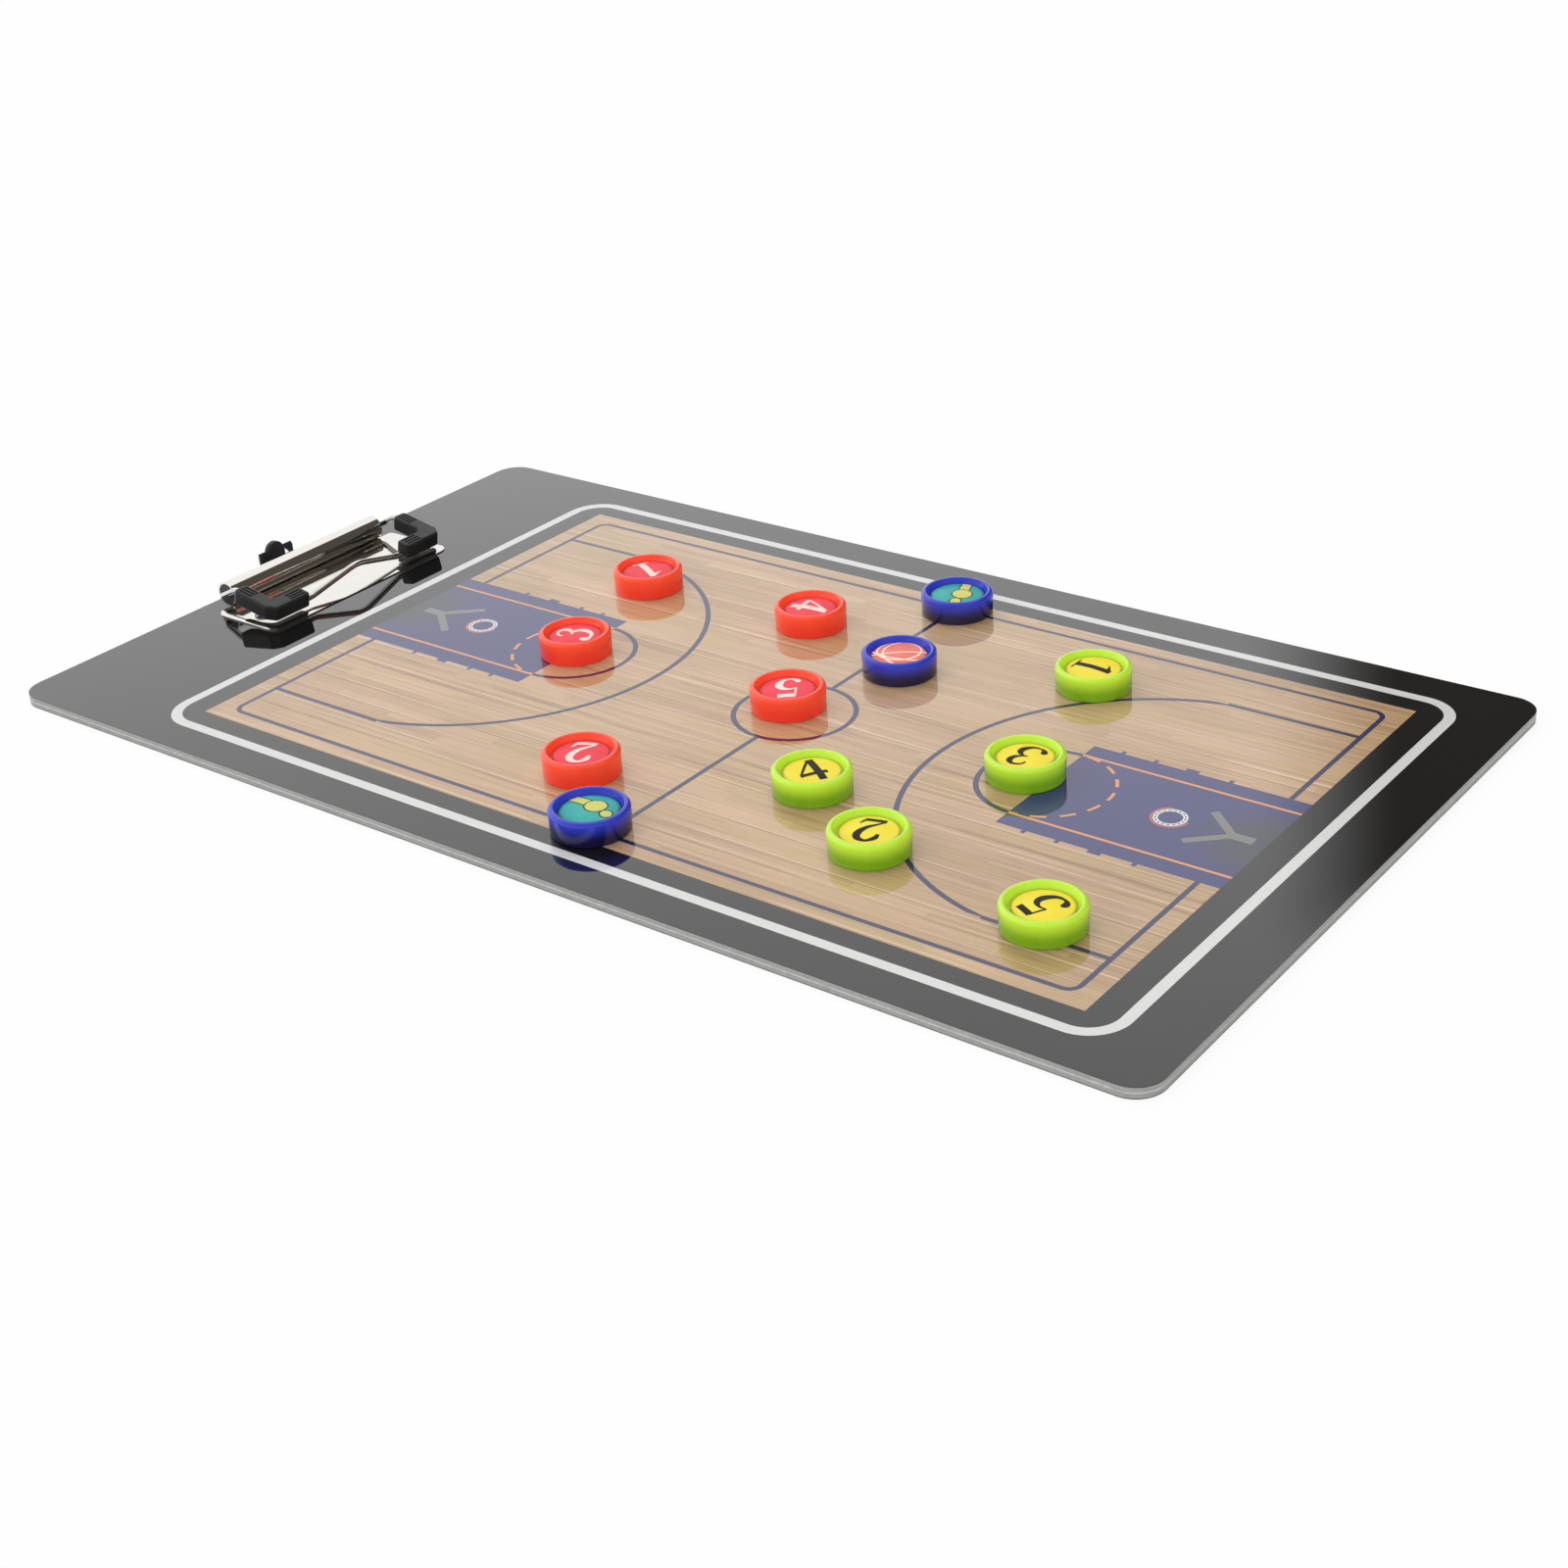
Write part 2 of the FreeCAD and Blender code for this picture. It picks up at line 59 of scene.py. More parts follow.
# Colours, linear
FILM_BLACK = (0.007, 0.007, 0.0075)
FILM_SMUDGE = (0.013, 0.013, 0.013)
LINE_WHITE = (0.70, 0.70, 0.69)
WOOD_LIGHT = (0.64, 0.425, 0.25)
WOOD_DARK = (0.34, 0.20, 0.10)
WOOD_YELLOW = (0.50, 0.36, 0.14)
PLANK_SHADE = (0.22, 0.12, 0.06)
PLANK_LIGHT = (0.80, 0.60, 0.42)
NAVY = (0.033, 0.036, 0.16)
LINE_NAVY = (0.024, 0.025, 0.085)
ORANGE = (0.75, 0.30, 0.09)
NET_WHITE = (0.75, 0.75, 0.75)
NET_RED = (0.72, 0.13, 0.05)
BRACKET_GREY = (0.19, 0.19, 0.185)
SHADE_GREY = (0.045, 0.048, 0.055)
# Cup colours: the foot colours are painted shade at a cup's foot, and the others are the cup's tone towards
# the rim, lightened with painted light
RED = (0.96, 0.070, 0.026)
RED_FOOT_SHADE = (0.84, 0.035, 0.014)
RED_LABEL = (0.94, 0.062, 0.095)
GREEN = (0.52, 0.82, 0.040)
GREEN_FOOT_SHADE = (0.17, 0.36, 0.004)
YELLOW_LABEL = (0.93, 0.79, 0.06)
BLUE = (0.025, 0.040, 0.50)
BLUE_FOOT_SHADE = (0.005, 0.004, 0.034)
TEAL_LABEL = (0.05, 0.46, 0.42)
SALMON_LABEL = (0.90, 0.24, 0.17)
SEAM_WHITE = (1.0, 0.80, 0.70)
DIGIT_WHITE = (1.0, 0.80, 0.75)
DIGIT_GREY = (0.028, 0.025, 0.018)
SIGN_YELLOW = (0.66, 0.66, 0.16)
SIGN_LINE = (0.02, 0.05, 0.04)

# Court print, millimetres from the board's centre
BORDER = {"x": (-133.75, 164.4), "y": (-92.2, 91.0), "radius": 11.0, "width": 3.0}
FLOOR_PRINT = {"x": (-123.65, 153.8), "y": (-83.0, 82.0)}
COURT = {"x": (-118.1, 148.85), "y": (-78.7, 77.35), "radius": 4.0, "width": 1.4}
HALF_LINE_X = 16.2
CIRCLE = {"x": 16.0, "y": -0.6, "radius": 16.3}
LINE_WIDTH = 1.45
ARC_RADIUS = 63.0
CORNER_LINES_Y = (-62.5, 61.2)
LANE_HALF_WIDTH = 23.3
LANE_LINE_Y = 17.6
ORANGE_WIDTH = 0.9
FREE_THROW_RADIUS = 17.4
NET_INNER_RADIUS = 3.25
NET_OUTER_RADIUS = 4.05
NET_WIDTH = 0.42
HOOP_RADIUS = 4.75
HOOP_GAP_TURN = 0.6  # radians by which the gap in the hoop is turned
HOOP_GAP_LEVEL = 0.55  # sine above which the hoop is left open
KNOTS_PER_RADIAN = 2.7
KNOT_SHARE = 0.35  # part of each step round the net that its knot fills
DASHES_PER_RADIAN = 2.4
DASH_SHARE = 0.56  # part of each step round the circle that its dash fills
STEM_WIDTH = 3.0
STEM_OVERLAP = 0.8
ARM_WIDTH = 2.2
ARM_OVERLAP = 0.6
LANE_SHADE_REACH = (6.0, 20.0)  # where the shade under the basket starts to fade, and where it ends
LANE_SHADE_DEPTH = 0.85
TAB_LENGTH = 1.3
PLANK_WIDTH = 3.7
PLANK_LENGTH = 58.0

# One end of the court each: which way mid-court lies, and where its marks stand
ENDS = [
    {"inward": 1, "end_x": -123.65, "lane_x": -61.2, "mid_y": -1.4, "arc_x": -93.3, "net": (-96.2, -1.6),
     "stem": (-119.1, -112.8), "arm_tip": (-103.5, 8.4), "line_x": -117.6,
     "tabs": [(-100.5, 0.6), (-89.8, 1.8), (-79.2, 0.6), (-71.0, 0.6)]},
    {"inward": -1, "end_x": 153.8, "lane_x": 93.5, "mid_y": -0.3, "arc_x": 124.6, "net": (128.0, 0.0),
     "stem": (150.3, 144.2), "arm_tip": (135.7, 8.2), "line_x": 148.8,
     "tabs": [(101.7, 0.6), (111.0, 0.6), (121.2, 1.8), (131.9, 0.6)]},
]

# Which way up each counter lies: degrees from +X to the top of its number or sign
UP_ANGLES = {
    "red_1": -28, "red_2": -65, "red_3": 196, "red_4": 8, "red_5": -52,
    "green_1": -3, "green_2": -73, "green_3": -99, "green_4": 147, "green_5": -117,
    "referee_1": 119, "referee_2": 182, "ball": 37,
}

# Strokes of the numbers, in shares of the number's height from its middle: x, y and pen width
NUMBER_STROKES = {
    "1": [
        [(0.02, -0.47, 0.18), (0.02, 0.47, 0.18)],
        [(-0.20, -0.475, 0.05), (0.24, -0.475, 0.05)],
        [(0.05, 0.43, 0.14), (-0.26, 0.29, 0.015)],
    ],
    "2": [
        [(-0.25, 0.16, 0.07), (-0.22, 0.32, 0.13), (-0.05, 0.455, 0.08), (0.14, 0.39, 0.15),
         (0.19, 0.20, 0.18), (0.08, -0.04, 0.13), (-0.10, -0.22, 0.08), (-0.25, -0.38, 0.05)],
        [(-0.27, -0.42, 0.14), (0.22, -0.42, 0.14)],
        [(0.20, -0.40, 0.10), (0.28, -0.22, 0.03)],
    ],
    "3": [
        [(-0.22, 0.24, 0.05), (-0.17, 0.38, 0.06), (0.00, 0.455, 0.08), (0.14, 0.37, 0.15),
         (0.13, 0.21, 0.13), (0.00, 0.08, 0.06), (-0.10, 0.04, 0.04)],
        [(-0.10, 0.04, 0.04), (0.04, 0.05, 0.07), (0.18, -0.05, 0.15), (0.21, -0.22, 0.18),
         (0.10, -0.41, 0.11), (-0.08, -0.46, 0.07), (-0.20, -0.42, 0.13),
         (-0.25, -0.33, 0.15), (-0.24, -0.26, 0.06)],
    ],
    "4": [
        [(0.10, -0.50, 0.18), (0.10, 0.50, 0.18)],
        [(0.07, 0.47, 0.08), (-0.31, -0.17, 0.06)],
        [(-0.34, -0.20, 0.12), (0.30, -0.20, 0.12)],
    ],
    "5": [
        [(-0.17, 0.42, 0.15), (0.25, 0.42, 0.15)],
        [(-0.16, 0.44, 0.05), (-0.20, 0.06, 0.05)],
        [(-0.21, 0.06, 0.03), (-0.04, 0.13, 0.07), (0.14, 0.06, 0.15), (0.20, -0.14, 0.19),
         (0.10, -0.38, 0.13), (-0.08, -0.46, 0.08), (-0.20, -0.42, 0.14),
         (-0.25, -0.33, 0.16), (-0.23, -0.25, 0.07)],
    ],
}
NUMBER_HEIGHT = 11.2 * MM
LABEL_DOME_SHARE = 0.52  # part of a label's height that is its dome
# The label's edge carries painted shade, as of the groove between label and cup wall
LABEL_EDGE_SHADE_SHARE = 0.18  # part of the dome's rise that the painted shade round its edge takes
LABEL_EDGE_SHADE_DEPTH = 0.85
LABEL_EDGE_SHADE_TONE = 0.2  # colour of the painted shade round the edge, as a share of the label's shade colour
NUMBER_LIFT = 0.02 * MM
STROKE_STEP = 0.15  # how much more each further stroke is lifted, in shares of the first lift
CURVE_STEPS = 8
PLATE_BOW = 0.048  # fall of the pressed clip plate towards its front edge
BOW_START = -169.3 * MM  # where the plate leaves its rolled tube
FLOOR_REACH = 12.0
FLOOR_TUCK = 4 * MM  # how far the floor runs in under the board's edge
FLOOR_CLEARANCE = 0.02 * MM

# Camera solved from the board's four corners in the photograph, in its frame of 1600 pixels
PHOTO_PIXELS = 1600
FOCAL_PIXELS = 2487.42
CAMERA_PLACE = (374.46, -455.53, 284.59)  # millimetres from the middle of the printed face
CAMERA_RIGHT = (0.7975013, 0.6009015, -0.0539365)
CAMERA_DOWN = (0.2433385, -0.4021772, -0.8826324)
CAMERA_VIEW = (-0.5520671, 0.6907756, -0.4669592)

# Studio: where each white part fades in or out, in degrees about +Z from +X
FAR_LEFT = (115.3, 119.4)
NEAR_LEFT = (-170.0, -120.0)
FRONT = (-40.0, -10.0)
FAR_LEFT_LEAN = 6.0  # how far its edge leans over with height
NEAR_LEFT_DIM = 0.22  # what is left of the near left's white towards the front
CEILING_SLOPE = 0.89
CEILING_EDGE = (-0.04, 0.08)
FAR_HALF = (0.05, 0.40)  # share of the direction along +Y over which the ceiling's far half begins
NEAR_CEILING_MIRRORED = 0.3  # what mirrors show of the ceiling's near half
STUDIO_WHITE = 1.04
STUDIO_DARK = 0.08
FLOOR_OWN_WHITE = 0.85  # part of the floor's white that the camera sees without its shade

# Lamps: direction of the light, strength and spread in degrees
KEY_LIGHT = {"towards": (0.30, -0.40, -1.0), "strength": 0.54, "spread": 50.0}
RIGHT_FILL = {"towards": (-0.95, 0.10, -0.08), "strength": 1.9, "spread": 60.0, "shadow": False}
LEFT_FILL = {"towards": (0.35, 0.93, -0.08), "strength": 1.75, "spread": 60.0, "shadow": False}


class Look:
    """Builds the node tree of one material. A value may be a number, a colour or another socket."""

    def __init__(self, name):
        self.material = bpy.data.materials.new(name)
        self.material.use_nodes = True
        self.tree = self.material.node_tree
        self.shader = self.tree.nodes["Principled BSDF"]
        self.place = self.add("ShaderNodeTexCoord").outputs["Object"]

    def add(self, kind, **settings):
        node = self.tree.nodes.new(kind)
        for key, value in settings.items():
            setattr(node, key, value)
        return node

    def put(self, socket, value):
        if isinstance(value, bpy.types.NodeSocket):
            self.tree.links.new(value, socket)
        elif isinstance(value, tuple) and len(value) == 3 and socket.type == "RGBA":
            socket.default_value = (*value, 1.0)
        else:
            socket.default_value = value

    def set(self, **values):
        """Sets the main shader's inputs: base_color=..., roughness=..., coat_weight=... and so on."""
        for key, value in values.items():
            name = key.replace("_", " ").title().replace("Ior", "IOR")
            self.put(self.shader.inputs[name], value)

    def math(self, operation, a, b=0.0, c=0.0):
        node = self.add("ShaderNodeMath", operation=operation)
        for socket, value in zip(node.inputs, (a, b, c)):
            self.put(socket, value)
        return node.outputs[0]

    def vector(self, operation, a, b=(0, 0, 0)):
        node = self.add("ShaderNodeVectorMath", operation=operation)
        self.put(node.inputs[0], a)
        self.put(node.inputs[1], b)
        return node.outputs["Value" if operation in ("DISTANCE", "LENGTH") else "Vector"]

    def split(self, vector):
        node = self.add("ShaderNodeSeparateXYZ")
        self.put(node.inputs[0], vector)
        return node.outputs

    def combine(self, x, y, z=0.0):
        node = self.add("ShaderNodeCombineXYZ")
        for socket, value in zip(node.inputs, (x, y, z)):
            self.put(socket, value)
        return node.outputs[0]

    def over(self, below, mask, above):
        """Colour `above` laid over `below` where the mask is one."""
        node = self.add("ShaderNodeMix", data_type="RGBA")
        self.put(node.inputs["Factor"], mask)
        # The node has sockets for each kind of data: these three are its colours
        self.put(node.inputs[6], below)
        self.put(node.inputs[7], above)
        return node.outputs[2]

    def noise(self, vector, scale, detail=3.0, roughness=0.5):
        node = self.add("ShaderNodeTexNoise")
        self.put(node.inputs["Vector"], vector)
        self.put(node.inputs["Scale"], scale)
        self.put(node.inputs["Detail"], detail)
        self.put(node.inputs["Roughness"], roughness)
        return node.outputs["Fac"]

    def remap(self, value, low, high, to_low, to_high, smooth=False):
        node = self.add("ShaderNodeMapRange", interpolation_type="SMOOTHSTEP" if smooth else "LINEAR")
        for socket, v in zip(node.inputs, (value, low, high, to_low, to_high)):
            self.put(socket, v)
        return node.outputs[0]

    def bump(self, height, strength, distance):
        node = self.add("ShaderNodeBump")
        node.inputs["Strength"].default_value = strength
        node.inputs["Distance"].default_value = distance
        self.put(node.inputs["Height"], height)
        self.put(self.shader.inputs["Normal"], node.outputs[0])

    def union(self, masks):
        total = masks[0]
        for mask in masks[1:]:
            total = self.math("MAXIMUM", total, mask)
        return total


class Print:
    """Masks of flat shapes in millimetres, for printing on a level face."""

    def __init__(self, look, centre=(0.0, 0.0), turn=0.0):
        self.look = look
        flat = look.vector("MULTIPLY", look.place, (1 / MM, 1 / MM, 0.0))
        flat = look.vector("SUBTRACT", flat, (*centre, 0.0))
        if turn:
            node = look.add("ShaderNodeVectorRotate", rotation_type="Z_AXIS")
            look.put(node.inputs["Vector"], flat)
            node.inputs["Angle"].default_value = -turn
            flat = node.outputs[0]
        self.flat = flat
        self.x, self.y, _ = look.split(flat)

    def band(self, value, middle, half):
        return self.look.math("COMPARE", value, middle, half)

    def both(self, a, b):
        return self.look.math("MULTIPLY", a, b)

    def box(self, x0, x1, y0, y1):
        across = self.band(self.x, (x0 + x1) / 2, abs(x1 - x0) / 2)
        return self.both(across, self.band(self.y, (y0 + y1) / 2, abs(y1 - y0) / 2))

    def distance(self, x, y):
        return self.look.vector("DISTANCE", self.flat, (x, y, 0.0))

    def disc(self, x, y, radius):
        return self.look.math("LESS_THAN", self.distance(x, y), radius)

    def ring(self, x, y, radius, width):
        return self.band(self.distance(x, y), radius, width / 2)

    def angle(self, x, y):
        dx = self.look.math("SUBTRACT", self.x, x)
        dy = self.look.math("SUBTRACT", self.y, y)
        return self.look.math("ARCTAN2", dy, dx)

    def frame_line(self, x, y, radius, width):
        """Outline of a round-cornered rectangle, of the given width inside its outer edge."""
        middle = ((x[0] + x[1]) / 2, (y[0] + y[1]) / 2, 0.0)
        inner = ((x[1] - x[0]) / 2 - radius, (y[1] - y[0]) / 2 - radius, 0.0)
        away = self.look.vector("ABSOLUTE", self.look.vector("SUBTRACT", self.flat, middle))
        past = self.look.vector("MAXIMUM", self.look.vector("SUBTRACT", away, inner))
        return self.band(self.look.vector("LENGTH", past), radius - width / 2, width / 2)

    def bar(self, start, end, width):
        """Straight bar between two points, cut square."""
        dx, dy = end[0] - start[0], end[1] - start[1]
        length = math.hypot(dx, dy)
        ux, uy = dx / length, dy / length
        look = self.look
        along = look.math("ADD", look.math("MULTIPLY", self.x, ux), look.math("MULTIPLY", self.y, uy))
        aside = look.math("SUBTRACT", look.math("MULTIPLY", self.y, ux), look.math("MULTIPLY", self.x, uy))
        middle = (start[0] + dx / 2) * ux + (start[1] + dy / 2) * uy
        offset = start[1] * ux - start[0] * uy
        return self.both(self.band(along, middle, length / 2), self.band(aside, offset, width / 2))


def wood_colour(look, court):
    """Printed floor boards: planks of different tone, streaks along them and broken seams between."""

    def drawn_out(along, aside, seed, scale, **settings):
        x, y = look.math("MULTIPLY", court.x, along), look.math("MULTIPLY", court.y, aside)
        return look.noise(look.combine(x, y, seed), scale, **settings)

    uneven = look.noise(look.combine(0.0, court.y), 0.21, detail=1.0)
    rows = look.math("DIVIDE", look.math("MULTIPLY_ADD", uneven, 2.5 * PLANK_WIDTH, court.y), PLANK_WIDTH)
    row = look.math("FLOOR", rows)
    shift = look.math("MULTIPLY", look.math("FRACT", look.math("MULTIPLY", row, 0.377)), PLANK_LENGTH)
    column = look.math("FLOOR", look.math("DIVIDE", look.math("ADD", court.x, shift), PLANK_LENGTH))
    tone = look.add("ShaderNodeTexWhiteNoise", noise_dimensions="2D")
    look.put(tone.inputs["Vector"], look.combine(row, column))
    plank, seed = tone.outputs["Value"], look.math("MULTIPLY", tone.outputs["Value"], 40.0)
    streak = drawn_out(0.012, 0.55, seed, 1.6, detail=6.0, roughness=0.62)
    fine = drawn_out(0.03, 1.7, seed, 2.0, detail=4.0, roughness=0.7)
    cloud = drawn_out(0.02, 0.06, 0.0, 1.0)
    amount = look.math("MULTIPLY_ADD", plank, 0.36, look.remap(streak, 0.35, 0.75, -0.05, 0.45))
    for part in (
        look.remap(fine, 0.5, 0.75, 0.0, 0.35), look.remap(cloud, 0.35, 0.65, -0.14, 0.14),
        # darker towards the right end: partly the print's deeper tone there, partly painted shade
        look.remap(court.x, 40.0, 150.0, 0.0, 0.16),
    ):
        amount = look.math("ADD", amount, part)
    wood = look.over(WOOD_LIGHT, amount, WOOD_DARK)
    yellow = drawn_out(0.017, 0.09, 7.0, 1.0)
    wood = look.over(wood, look.remap(yellow, 0.48, 0.7, 0.0, 0.5), WOOD_YELLOW)
    within = look.math("FRACT", rows)
    broken = drawn_out(0.016, 0.27, row, 1.0)

    def seam(middle, half, low, strength):
        away = look.math("ABSOLUTE", look.math("SUBTRACT", within, middle))
        line = look.remap(away, 0.0, half, 1.0, 0.0)
        return look.math("MULTIPLY", line, look.remap(broken, low, low + 0.12, 0.0, strength))

    wood = look.over(wood, seam(0.10, 0.10, 0.46, 0.7), PLANK_SHADE)
    return look.over(wood, seam(0.26, 0.10, 0.44, 0.75), PLANK_LIGHT)


def court_end(look, court, colour, end):
    """Marks of one end of the court: arc, lane, free-throw circle, net, bracket and lane tabs."""
    inward, mid, lane_x, end_x = end["inward"], end["mid_y"], end["lane_x"], end["end_x"]
    beyond = "GREATER_THAN" if inward > 0 else "LESS_THAN"
    tip_x = end["arc_x"] + inward * (ARC_RADIUS + LINE_WIDTH)
    arc = court.ring(end["arc_x"], mid, ARC_RADIUS, LINE_WIDTH)
    lines = [court.both(arc, court.box(end["arc_x"], tip_x, *CORNER_LINES_Y))]
    for y in CORNER_LINES_Y:
        meet_x = end["arc_x"] + inward * math.sqrt(ARC_RADIUS ** 2 - (y - mid) ** 2)
        lines.append(court.box(end["line_x"], meet_x, y - LINE_WIDTH / 2, y + LINE_WIDTH / 2))
    free_throw = court.ring(lane_x, mid, FREE_THROW_RADIUS, LINE_WIDTH)
    lines.append(court.both(free_throw, look.math(beyond, court.x, lane_x)))
    colour = look.over(colour, look.union(lines), LINE_NAVY)
    lane = [court.box(end_x, lane_x, mid - LANE_HALF_WIDTH, mid + LANE_HALF_WIDTH)]
    reach = LANE_HALF_WIDTH + TAB_LENGTH
    for x, half in end["tabs"]:
        lane.append(court.box(x - half, x + half, mid - reach, mid + reach))
    colour = look.over(colour, look.union(lane), NAVY)
    shade = look.remap(court.distance(end_x, mid), *LANE_SHADE_REACH, LANE_SHADE_DEPTH, 0.0, smooth=True)
    in_lane = court.box(end_x, lane_x, mid - LANE_LINE_Y, mid + LANE_LINE_Y)
    colour = look.over(colour, court.both(shade, in_lane), SHADE_GREY)
    oranges = []
    for side in (-1, 1):
        y = mid + side * LANE_LINE_Y
        oranges.append(court.box(end_x, lane_x, y - ORANGE_WIDTH / 2, y + ORANGE_WIDTH / 2))
    dash_place = look.math("FRACT", look.math("MULTIPLY", court.angle(lane_x, mid), DASHES_PER_RADIAN))
    dashed = look.math("LESS_THAN", dash_place, DASH_SHARE)
    dashes = court.both(court.ring(lane_x, mid, FREE_THROW_RADIUS, ORANGE_WIDTH), dashed)
    behind = "LESS_THAN" if inward > 0 else "GREATER_THAN"
    oranges.append(court.both(dashes, look.math(behind, court.x, lane_x)))
    colour = look.over(colour, look.union(oranges), ORANGE)
    stem, tip = end["stem"], end["arm_tip"]
    bars = [court.bar((stem[0], mid), (stem[1] + inward * STEM_OVERLAP, mid), STEM_WIDTH)]
    for side in (-1, 1):
        start = (stem[1] - inward * ARM_OVERLAP, mid)
        bars.append(court.bar(start, (tip[0], mid + side * tip[1]), ARM_WIDTH))
    colour = look.over(colour, look.union(bars), BRACKET_GREY)
    net_x, net_y = end["net"]
    around = court.angle(net_x, net_y)
    knot_place = look.math("FRACT", look.math("MULTIPLY", around, KNOTS_PER_RADIAN))
    knots = look.math("LESS_THAN", knot_place, KNOT_SHARE)
    span = (NET_INNER_RADIUS + NET_OUTER_RADIUS) / 2
    net = look.union([
        court.ring(net_x, net_y, NET_INNER_RADIUS, NET_WIDTH),
        court.ring(net_x, net_y, NET_OUTER_RADIUS, NET_WIDTH),
        court.both(court.ring(net_x, net_y, span, NET_OUTER_RADIUS - NET_INNER_RADIUS), knots),
    ])
    turned = look.math("SINE", look.math("ADD", around, HOOP_GAP_TURN))
    hoop_part = look.math("LESS_THAN", turned, HOOP_GAP_LEVEL)
    hoop = court.both(court.ring(net_x, net_y, HOOP_RADIUS, NET_WIDTH), hoop_part)
    colour = look.over(colour, hoop, NET_RED)
    return look.over(colour, net, NET_WHITE)


def film_material():
    """Glossy printed film: black with a white border line and the full court."""
    look = Look("printed_film")
    court = Print(look)
    smudge = look.noise(look.place, 30.0, detail=4.0)
    black = look.over(FILM_BLACK, look.remap(smudge, 0.45, 0.75, 0.0, 0.25), FILM_SMUDGE)
    colour = look.over(black, court.frame_line(**BORDER), LINE_WHITE)
    floor = court.box(*FLOOR_PRINT["x"], *FLOOR_PRINT["y"])
    colour = look.over(colour, floor, wood_colour(look, court))
    half_line = court.box(HALF_LINE_X - LINE_WIDTH / 2, HALF_LINE_X + LINE_WIDTH / 2, *COURT["y"])
    circle = court.ring(CIRCLE["x"], CIRCLE["y"], CIRCLE["radius"], LINE_WIDTH)
    outside = look.math("GREATER_THAN", court.distance(CIRCLE["x"], CIRCLE["y"]), CIRCLE["radius"])
    lines = [court.frame_line(**COURT), court.both(half_line, outside), circle]
    colour = look.over(colour, look.union(lines), LINE_NAVY)
    for end in ENDS:
        colour = court_end(look, court, colour, end)
    haze = look.noise(look.place, 55.0, detail=5.0)
    look.set(
        base_color=colour, roughness=look.remap(haze, 0.3, 0.7, 0.015, 0.045),
        specular_ior_level=0.5, ior=1.4,
        coat_weight=1.0, coat_roughness=0.012, coat_ior=1.4,
    )
    return look.material


def plastic(name, colour, shade, roughness, grain=900.0, bump=0.04, specular=0.5):
    """Moulded plastic: faint tone drift, fine skin and a soft gloss."""
    look = Look(name)
    drift = look.noise(look.place, 120.0, detail=2.0)
    skin = look.noise(look.place, grain, detail=2.0)
    look.set(
        base_color=look.over(colour, look.remap(drift, 0.35, 0.65, 0.0, 1.0), shade),
        roughness=look.remap(skin, 0.3, 0.7, roughness * 0.85, roughness * 1.2),
        specular_ior_level=specular,
    )
    look.bump(skin, bump, 0.0002)
    return look.material


def cup_plastic(name, colour, foot_shade_colour):
    """Glossy plastic of a counter's cup, with painted shade: darker at the foot, and painted light towards
    the rim.
    """
    look = Look(name)
    low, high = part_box("ball_cup")
    height = look.remap(look.split(look.place)["Z"], low[2], high[2], 0.0, 1.0)
    # Painted shade and light by height: the foot colour at the bottom, fading to the full colour towards
    # the rim
    rim_light_share = look.remap(height, 0.25, 0.95, 0.0, 1.0, smooth=True)
    drift = look.noise(look.place, 60.0, detail=2.0)
    rim_light_share = look.math("MULTIPLY", rim_light_share, look.remap(drift, 0.3, 0.7, 0.95, 1.0))
    body = look.over(foot_shade_colour, rim_light_share, colour)
    look.set(
        base_color=body, roughness=look.remap(drift, 0.3, 0.7, 0.24, 0.3), specular_ior_level=0.4,
        coat_weight=0.5, coat_roughness=0.06,
    )
    return look.material


def metal(name, colour, shade, roughness, stretch=(1.0, 1.0, 1.0), bump=0.02, bow=0.0):
    """Plated or rolled metal, with fine marks drawn out along one direction.

    The bow is the slight fall towards +X that a pressed sheet keeps, as a slope.
    """
    look = Look(name)
    drawn = look.vector("MULTIPLY", look.place, stretch)
    marks = look.noise(drawn, 700.0, detail=3.0)
    look.set(
        base_color=look.over(colour, look.remap(marks, 0.4, 0.7, 0.0, 1.0), shade),
        metallic=1.0, roughness=look.remap(marks, 0.3, 0.7, roughness * 0.7, roughness * 1.3),
    )
    look.bump(marks, bump, 0.0001)
    if bow:
        fall = look.add("ShaderNodeBump")
        fall.inputs["Strength"].default_value = 1.0
        fall.inputs["Distance"].default_value = bow
        front = look.math("MAXIMUM", look.split(look.place)["X"], BOW_START)
        look.put(fall.inputs["Height"], look.math("MULTIPLY", front, -1.0))
        marks_bump = look.shader.inputs["Normal"].links[0].from_node
        look.put(marks_bump.inputs["Normal"], fall.outputs[0])
    return look.material


def cut_edge(name, colour, shade):
    """Saw-cut edge of a sheet: streaks along the cut."""
    look = Look(name)
    streaks = look.noise(look.vector("MULTIPLY", look.place, (0.05, 0.05, 1.0)), 5200.0, detail=4.0)
    specks = look.noise(look.place, 900.0, detail=3.0)
    mixed = look.math("ADD", look.math("MULTIPLY", streaks, 0.6), look.math("MULTIPLY", specks, 0.4))
    look.set(base_color=look.over(colour, look.remap(mixed, 0.35, 0.65, 0.0, 1.0), shade), roughness=0.42)
    look.bump(mixed, 0.08, 0.0002)
    return look.material


